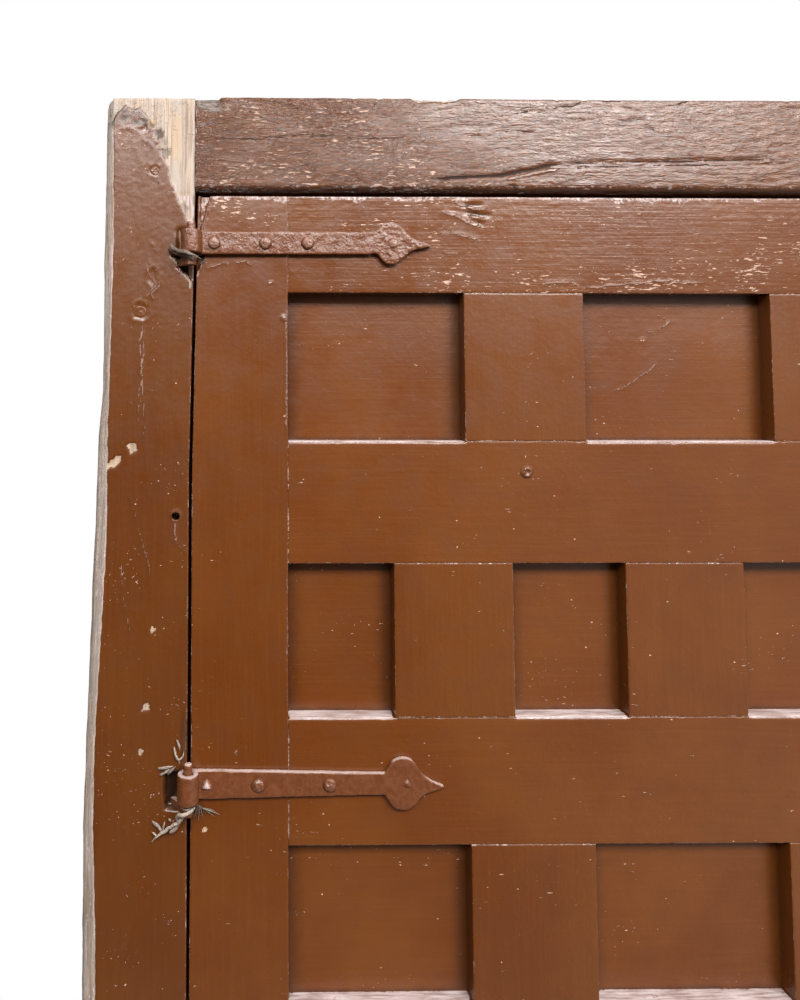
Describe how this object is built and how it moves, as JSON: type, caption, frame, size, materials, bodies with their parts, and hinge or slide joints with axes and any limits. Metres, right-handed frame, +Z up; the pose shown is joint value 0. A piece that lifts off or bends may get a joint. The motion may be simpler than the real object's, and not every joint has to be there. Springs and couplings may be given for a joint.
{
  "type": "panelled wooden door with frame",
  "caption": "Square-headed panelled timber door hung on forged strap hinges in its own jambs and head, with a sliding bolt.",
  "frame": {"origin": "on the floor, at the middle of the whole door and frame seen from above", "axes": "+X to the right seen from the front, where the straps are; +Y into the wall; +Z up"},
  "size_m": [1.197, 0.1292, 2.101],
  "materials": {
    "painted_wood": "old glossy red-brown paint, flaking",
    "panel_wood": "old glossy red-brown paint",
    "painted_iron": "forged iron under thick red-brown paint",
    "bare_wood": "bare weathered wood",
    "packing": "frayed fibre packing"
  },
  "bodies": {
    "frame": {"jamb_left": "painted_wood", "jamb_right": "painted_wood", "head_beam": "painted_wood", "frame_pegs": "painted_wood", "jamb_plug": "painted_wood", "pintle_1": "painted_iron", "pintle_2": "painted_iron", "pintle_3": "painted_iron", "pintle_4": "painted_iron", "eye_packing": "packing", "bolt_keeper": "painted_iron"},
    "leaf": {"hinge_stile": "painted_wood", "lock_stile": "painted_wood", "rail_1": "painted_wood", "rail_2": "painted_wood", "rail_3": "painted_wood", "rail_4": "painted_wood", "rail_5": "painted_wood", "rail_6": "painted_wood", "rail_7": "painted_wood", "rail_8": "painted_wood", "muntin_1_1": "painted_wood", "muntin_1_2": "painted_wood", "muntin_2_1": "painted_wood", "muntin_2_2": "painted_wood", "muntin_2_3": "painted_wood", "muntin_3_1": "painted_wood", "muntin_3_2": "painted_wood", "muntin_4_1": "painted_wood", "muntin_4_2": "painted_wood", "muntin_4_3": "painted_wood", "muntin_5_1": "painted_wood", "muntin_5_2": "painted_wood", "muntin_6_1": "painted_wood", "muntin_6_2": "painted_wood", "muntin_6_3": "painted_wood", "muntin_7_1": "painted_wood", "muntin_7_2": "painted_wood", "panels_row_1": "panel_wood", "panels_row_2": "panel_wood", "panels_row_3": "panel_wood", "panels_row_4": "panel_wood", "panels_row_5": "panel_wood", "panels_row_6": "panel_wood", "panels_row_7": "panel_wood", "leaf_pegs": "painted_wood", "tenon_nail": "painted_iron", "strap_hinge_1": "painted_iron", "strap_hinge_2": "painted_iron", "strap_hinge_3": "painted_iron", "strap_hinge_4": "painted_iron", "strap_nails_1": "painted_iron", "strap_nails_2": "painted_iron", "strap_nails_3": "painted_iron", "strap_nails_4": "painted_iron", "bolt_staples": "painted_iron"},
    "bolt": {"bolt_bar": "painted_iron"}
  },
  "joints": [
    {"name": "leaf_swing", "type": "hinge", "parent": "frame", "child": "leaf", "pos_m": [-0.491, -0.04085, 1], "axis": [0, 0, -1], "range_deg": [0, 120]},
    {"name": "bolt_slide", "type": "slide", "parent": "leaf", "child": "bolt", "axis": [1, 0, 0], "range_m": [0, 0.055]}
  ]
}
